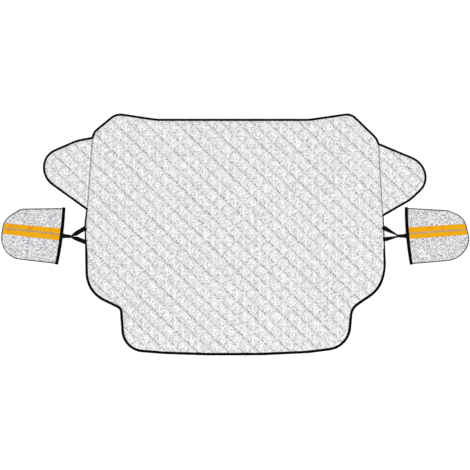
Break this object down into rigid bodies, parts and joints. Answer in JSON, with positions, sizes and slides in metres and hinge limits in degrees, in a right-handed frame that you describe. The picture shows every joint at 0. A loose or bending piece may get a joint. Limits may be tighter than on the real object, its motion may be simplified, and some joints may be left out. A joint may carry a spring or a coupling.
{
  "type": "windshield frost cover",
  "caption": "Padded silver windshield cover with diamond quilting, black bound edges, side wings for the doors and strapped mirror covers with a bright reflective band.",
  "frame": {"origin": "middle of the overall box, on the plane that the cover lies on", "axes": "+Z is the face side, up as the cover lies flat; +Y towards the top edge, the one with the two raised corners; +X towards the viewer's right"},
  "size_m": [2.3153, 1.1978, 0.0234],
  "materials": {
    "quilted_foil": "silver foil cloth, satin",
    "crinkled_foil": "silver foil cloth, crinkled",
    "black_tape": "woven binding tape",
    "grey_tape": "narrow binding tape",
    "orange_tape": "bright woven tape",
    "reflective_tape": "reflective ribbon",
    "black_webbing": "woven webbing"
  },
  "bodies": {
    "root": {"main_panel": "quilted_foil", "left_wing": "quilted_foil", "right_wing": "quilted_foil", "top_binding": "black_tape", "lower_binding": "black_tape", "left_wing_binding": "black_tape", "right_wing_binding": "black_tape", "left_seam_tape": "grey_tape", "right_seam_tape": "grey_tape", "left_mirror_back": "crinkled_foil", "left_mirror_front": "crinkled_foil", "left_mirror_hem": "black_tape", "left_mirror_edge_binding": "grey_tape", "left_mirror_bright_tape": "orange_tape", "left_mirror_reflective_line": "reflective_tape", "left_mirror_upper_strap": "black_webbing", "left_mirror_lower_strap": "black_webbing", "right_mirror_back": "crinkled_foil", "right_mirror_front": "crinkled_foil", "right_mirror_hem": "black_tape", "right_mirror_edge_binding": "grey_tape", "right_mirror_bright_tape": "orange_tape", "right_mirror_reflective_line": "reflective_tape", "right_mirror_upper_strap": "black_webbing", "right_mirror_lower_strap": "black_webbing"}
  },
  "joints": []
}
